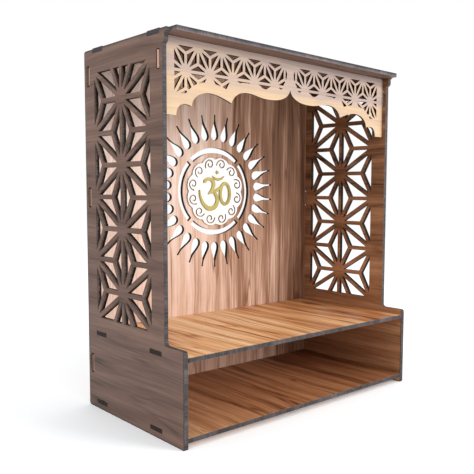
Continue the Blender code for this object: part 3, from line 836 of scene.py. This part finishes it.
plateSettings = (
    ("roof_panel", "roofPanel", 0, 1, (0.2, 0.9), greyWalnut, walnutLook, roofEdge),
    ("altar_shelf", "altarShelf", 1, 0, (0.7, 0.3), amberWalnut, shelfLook, plainEdge),
    ("base_board", "baseBoard", 1, 0, (1.4, 2.1), ruddyWalnut, shelfLook, plainEdge),
)


def buildPlates(s, tree):
    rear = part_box("left_side_panel")[1][1]
    places = [rear - depth for depth in s["tabDepths"]]
    for node, name, grain, across, offset, colours, look, edge in plateSettings:
        low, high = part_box(node)
        boardEnd = high[0] - s["board"] - s["gap"]
        loop = tabbedLoop(boardEnd, high[0], low[1], high[1], places, s["tabLength"])
        outline = loopsObject(name + "Outline", [loop])
        finishes = boardFinishes(node, grain, across, offset, colours, look, 2, edge)
        piece = growPiece(name, outline, tree, {
            "Thickness": s["board"], "Centre": (0, 0, 0), "First Cut": outline, "First Count": 0,
            "Second Cut": outline, "Second Count": 0, **finishes,
        }, lying(node))
        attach(piece, "root")
        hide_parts(node)
        dropHelpers(outline)
    print("roof, shelf and base done")


# Valance

valanceSettings = {
    "sheet": 0.004, "corner": 0.005, "footWidth": 0.0177, "footDrop": 0.0937,
    "firstWidth": 0.0225, "firstCrown": 0.0757, "firstCusp": 0.0809,
    "secondRise": 0.65, "secondWidth": 0.0625, "secondCrown": 0.0619, "secondCusp": 0.0708,
    "thirdRise": 0.6, "thirdCrown": 0.0546, "thirdDip": 0.0591, "centreCusp": 0.0414,
    "tabDrop": 0.0294, "tabLength": 0.0215, "pitch": 0.0367, "bar": 0.0038,
    "windowEnd": 0.0150, "windowTop": 0.0090, "windowEdge": 0.0130,
    "windowSteps": 90, "windowThickness": 0.02, "middleBand": 0.0130, "bulge": 0.0200,
    "bulgeStart": 145, "bulgeEnd": 225, "columns": 19, "rows": 9, "smallestHole": 0.0000075,
}


def scallopedEdge(v, boardEnd, top):
    foot = boardEnd - v["footWidth"]
    firstCusp = foot - v["firstWidth"]
    secondCusp = firstCusp - v["secondWidth"]

    def first(share, drop):
        return (foot - v["firstWidth"] * share, top - drop)

    def second(share, drop):
        return (firstCusp - v["secondWidth"] * share, top - drop)

    def third(share, drop):
        return (secondCusp * (1 - share), top - drop)

    rising = v["firstCusp"] + (v["secondCrown"] - v["firstCusp"]) * v["secondRise"]
    falling = (v["secondCrown"] + v["secondCusp"]) / 2
    climbing = v["secondCusp"] + (v["thirdCrown"] - v["secondCusp"]) * v["thirdRise"]
    crown2, crown3, dip3 = v["secondCrown"], v["thirdCrown"], v["thirdDip"]
    curves = (
        (first(0, v["firstCusp"]), first(0.4, v["firstCrown"]), first(1, v["firstCusp"])),
        (second(0.02, rising), second(0.22, crown2), second(0.44, crown2)),
        (second(0.63, crown2), second(0.82, falling), second(1, v["secondCusp"])),
        (third(0.03, climbing), third(0.12, crown3), third(0.25, crown3)),
        (third(0.38, crown3), third(0.46, dip3), third(0.62, dip3)),
        (third(0.81, dip3), third(0.97, crown3), third(1, v["centreCusp"])),
    )
    edge = [(foot, top - v["footDrop"])]
    for nearStart, nearEnd, end in curves:
        edge += bezierPoints(edge[-1], nearStart, nearEnd, end)
    return edge


def valanceWindow(v, edge, boardEnd, top):
    mirrored = edge + [(-x, z) for x, z in edge]
    outer, high = boardEnd - v["windowEnd"], top - v["windowTop"]

    def floor(x):
        near = [(z, v["windowEdge"] ** 2 - (x - px) ** 2) for px, z in mirrored]
        return max(z + math.sqrt(room) for z, room in near if room > 0)

    start, end = math.radians(v["bulgeStart"]), math.radians(v["bulgeEnd"])
    centre = (v["middleBand"] / 2 + v["bulge"], high - v["bulge"] * math.sin(start))
    bulge = [(x, z) for x, z in arcPoints(centre, v["bulge"], start, end, steps=24) if z > floor(x)]
    last, steps = bulge[-1][0], v["windowSteps"]
    xs = [last + (outer - last) * step / steps for step in range(1, steps + 1)]
    return [(outer, high), *bulge, *[(x, floor(x)) for x in xs]]


def buildValance(v, tree):
    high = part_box("front_valance")[1]
    outside, top = high[0], high[2]
    boardEnd = outside - sideSettings["board"] - sideSettings["gap"]
    edge = scallopedEdge(v, boardEnd, top)
    tabLow = top - v["tabDrop"] - v["tabLength"] / 2
    tabHigh = tabLow + v["tabLength"]
    right = list(reversed(edge))
    right += [(boardEnd, edge[0][1]), (boardEnd, tabLow), (outside, tabLow)]
    right += [(outside, tabHigh), (boardEnd, tabHigh)]
    corner = (boardEnd - v["corner"], top - v["corner"])
    right += arcPoints(corner, v["corner"], 0, math.pi / 2, steps=10)
    outline = loopsObject("valanceOutline", [right + [(-x, z) for x, z in reversed(right[1:])]])
    window = valanceWindow(v, edge, boardEnd, top)
    window = prismObject("valanceWindow", window, v["windowThickness"])
    hub = (
        boardEnd - v["windowEnd"] + v["bar"] / 2 - v["pitch"] / 2,
        top - v["windowTop"] + v["bar"] / 2 - v["pitch"] * math.sqrt(3) / 2, 0,
    )
    finishes = boardFinishes(
        "front_valance", 0, 2, (0.4, 0.2), palestMaple, mapleLook, 1, valanceEdge)
    piece = growPiece("frontValance", outline, tree, {
        "Thickness": v["sheet"], "Pitch": v["pitch"], "Bar": v["bar"], "Turn": 0.0, "Hub": hub,
        "Columns": v["columns"], "Rows": v["rows"], "Window": window, "Both Halves": True,
        "Smallest Hole": v["smallestHole"], **finishes,
    }, facingFront("front_valance"))
    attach(piece, "root")
    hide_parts("front_valance")
    dropHelpers(window, outline)
    print("valance done")


# Medallion

medallionSettings = {
    "sheet": 0.002, "count": 12, "peak": 0.0556, "valley": 0.0518, "rim": 0.0032,
    "curlOuter": 0.0072, "curlInner": 0.0024, "slot": 0.0021, "flare": 0.0028,
    "start": math.radians(205), "sweep": math.radians(430), "curlSteps": 56,
    "flareFade": 8, "closing": 1.5,
}
medallionEdge = {
    "colours": [shade(84, 62, 48), shade(120, 92, 72), shade(150, 122, 98)],
    "skin": shade(214, 204, 192), "ends": None, "lean": 0.0,
}
# the curl slots' walls: dark grey as painted shade inside the slots
medallionCut = {
    "colours": [shade(26, 24, 23), shade(44, 41, 40), shade(68, 64, 62)],
    "skin": shade(104, 99, 96), "ends": None, "lean": 0.0,
}


def lobedLoop(m):
    halfTurn = math.pi / m["count"]
    peak, valley = m["peak"], m["valley"]
    centre = (peak**2 - valley**2) / (2 * (peak - valley * math.cos(halfTurn)))
    end = math.atan2(valley * math.sin(halfTurn), valley * math.cos(halfTurn) - centre)
    lobe = arcPoints((centre, 0), peak - centre, -end, end, steps=20)[:-1]
    loop = []
    for index in range(m["count"]):
        c, s = math.cos((2 * index + 1) * halfTurn), math.sin((2 * index + 1) * halfTurn)
        loop += [(x * c - y * s, x * s + y * c) for x, y in lobe]
    return loop


def curlLoop(m):
    inner, outer = [], []
    middle, half = m["peak"] - m["rim"] - m["curlOuter"], m["slot"] / 2
    for step in range(m["curlSteps"] + 1):
        share = step / m["curlSteps"]
        angle = m["start"] - m["sweep"] * share - math.pi / 2
        radius = m["curlOuter"] + m["flare"] * (1 - share) ** m["flareFade"]
        radius -= (m["curlOuter"] - m["curlInner"]) * share ** m["closing"]
        c, s = math.cos(angle), math.sin(angle)
        inner.append((middle + (radius - half) * c, (radius - half) * s))
        outer.append((middle + (radius + half) * c, (radius + half) * s))
    return outer + inner[::-1]


whiteSettings = {
    "clouds": (38.0, 4.0, 0.6), "specks": (1400.0, 2.0, 0.5), "roughness": (0.26, 0.36),
    "stops": [(0.35, shade(240, 236, 230)), (0.65, shade(252, 250, 247))],
    "bump": 0.12, "bumpDepth": 0.00004,
}


def whiteSheet(s):
    material, tree, shader = startMaterial("whiteSheet")
    where = objectPlace(tree)[0]
    clouds = noiseNode(tree, where, *s["clouds"])
    specks = noiseNode(tree, where, *s["specks"])
    tree.links.new(rampNode(tree, clouds, s["stops"]), shader.inputs["Base Color"])
    rough = rangeNode(tree, clouds, *noiseBand, *s["roughness"])
    tree.links.new(rough, shader.inputs["Roughness"])
    linkBump(tree, shader, specks, s["bump"], s["bumpDepth"])
    return material


def buildMedallion(m, sun, tree):
    outline, curl = loopsObject("lobes", [lobedLoop(m)]), loopsObject("curl", [curlLoop(m)])
    edge = charredEdge("medallionEdge", "sun_medallion", 1, medallionEdge)
    cut = charredEdge("medallionCut", "sun_medallion", 1, medallionCut)
    place = Matrix.Translation((0, 0, sun["height"])) @ facingFront("sun_medallion")
    piece = growPiece("sunMedallion", outline, tree, {
        "Thickness": m["sheet"], "Centre": (0, 0, 0), "First Cut": curl,
        "First Count": m["count"], "First Turn": 0.5, "Second Cut": curl, "Second Count": 0,
        "Face": whiteSheet(whiteSettings), "Edge": edge, "Cut": cut,
    }, place)
    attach(piece, "root")
    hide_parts("sun_medallion")
    dropHelpers(outline, curl)
    print("medallion done")


# Emblem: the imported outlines, rounded along their edges

emblemSettings = {
    "arris": 0.0004, "weld": 0.00002, "flatBelow": 1, "metallic": 0.4, "roughness": (0.36, 0.48),
    "brushing": (60, 60, 1600), "clouds": 60.0, "noise": (3.0, 0.6),
    "stops": [(0.3, shade(150, 134, 66)), (0.7, shade(178, 162, 90))],
    "bump": 0.15, "bumpDepth": 0.00004,
}


def goldSheet(s):
    material, tree, shader = startMaterial("goldSheet")
    where = objectPlace(tree)[0]
    brushed = noiseNode(tree, stretchNode(tree, where, s["brushing"]), 1.0, *s["noise"])
    clouds = noiseNode(tree, where, s["clouds"], *s["noise"])
    tree.links.new(rampNode(tree, clouds, s["stops"]), shader.inputs["Base Color"])
    shader.inputs["Metallic"].default_value = s["metallic"]
    rough = rangeNode(tree, brushed, *noiseBand, *s["roughness"])
    tree.links.new(rough, shader.inputs["Roughness"])
    linkBump(tree, shader, brushed, s["bump"], s["bumpDepth"])
    return material


def buildEmblem(s):
    gold, flat = goldSheet(s), math.radians(s["flatBelow"])
    for node, name in (("om_body", "omBody"), ("om_crescent", "omCrescent"), ("om_dot", "omDot")):
        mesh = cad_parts[node].data.copy()
        shape = bmesh.new()
        shape.from_mesh(mesh)
        bmesh.ops.remove_doubles(shape, verts=shape.verts, dist=s["weld"])
        bmesh.ops.dissolve_limit(shape, angle_limit=flat, verts=shape.verts, edges=shape.edges)
        shape.to_mesh(mesh)
        shape.free()
        mesh.materials.clear()
        mesh.materials.append(gold)
        piece = standPiece(name, mesh, Matrix.Identity(4), s["arris"])
        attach(piece, "root")
        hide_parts(node)
    print("emblem done")


# Studio

studioSettings = {
    "world": 1.0, "floor": 6.0, "floorColour": (0.92, 0.95, 0.97, 1), "floorRoughness": 0.8,
    "floorSpecular": 0.1, "floorGlow": 0.12, "aim": (0, 0, 0.25),
    "key": {"place": (0.9, -2.0, 1.0), "size": 0.8, "power": 30.0},
    "fill": {"place": (-0.4, -1.6, 2.2), "size": 1.2, "power": 6.0},
}


def buildStudio(s):
    world = bpy.data.worlds.new("studio")
    world.use_nodes = True
    background = world.node_tree.nodes["Background"]
    background.inputs["Color"].default_value = (1, 1, 1, 1)
    background.inputs["Strength"].default_value = s["world"]
    scene.world = world

    mesh = bpy.data.meshes.new("floor")
    half = s["floor"] / 2
    corners = [(-half, -half, 0), (half, -half, 0), (half, half, 0), (-half, half, 0)]
    mesh.from_pydata(corners, [], [(0, 1, 2, 3)])
    floor = bpy.data.objects.new("floor", mesh)
    material, _, shader = startMaterial("paleFloor")
    shader.inputs["Base Color"].default_value = s["floorColour"]
    shader.inputs["Roughness"].default_value = s["floorRoughness"]
    shader.inputs["Specular IOR Level"].default_value = s["floorSpecular"]
    shader.inputs["Emission Color"].default_value = (1, 1, 1, 1)
    shader.inputs["Emission Strength"].default_value = s["floorGlow"]
    mesh.materials.append(material)
    scene.collection.objects.link(floor)

    for name in ("key", "fill"):
        lamp = bpy.data.lights.new(name, "AREA")
        lamp.energy, lamp.size = s[name]["power"], s[name]["size"]
        light = bpy.data.objects.new(name, lamp)
        place = Vector(s[name]["place"])
        look = (Vector(s["aim"]) - place).to_track_quat("-Z", "Y").to_matrix().to_4x4()
        light.matrix_world = Matrix.Translation(place) @ look
        scene.collection.objects.link(light)
    print("studio done")


placeCamera(cameraSettings)
lattice = latticeTree()
pierced = piercedTree()
buildSidePanels(sideSettings, lattice)
buildBackPanel(sideSettings, sunSettings, pierced)
buildPlates(sideSettings, pierced)
buildValance(valanceSettings, lattice)
buildMedallion(medallionSettings, sunSettings, pierced)
buildEmblem(emblemSettings)
buildStudio(studioSettings)
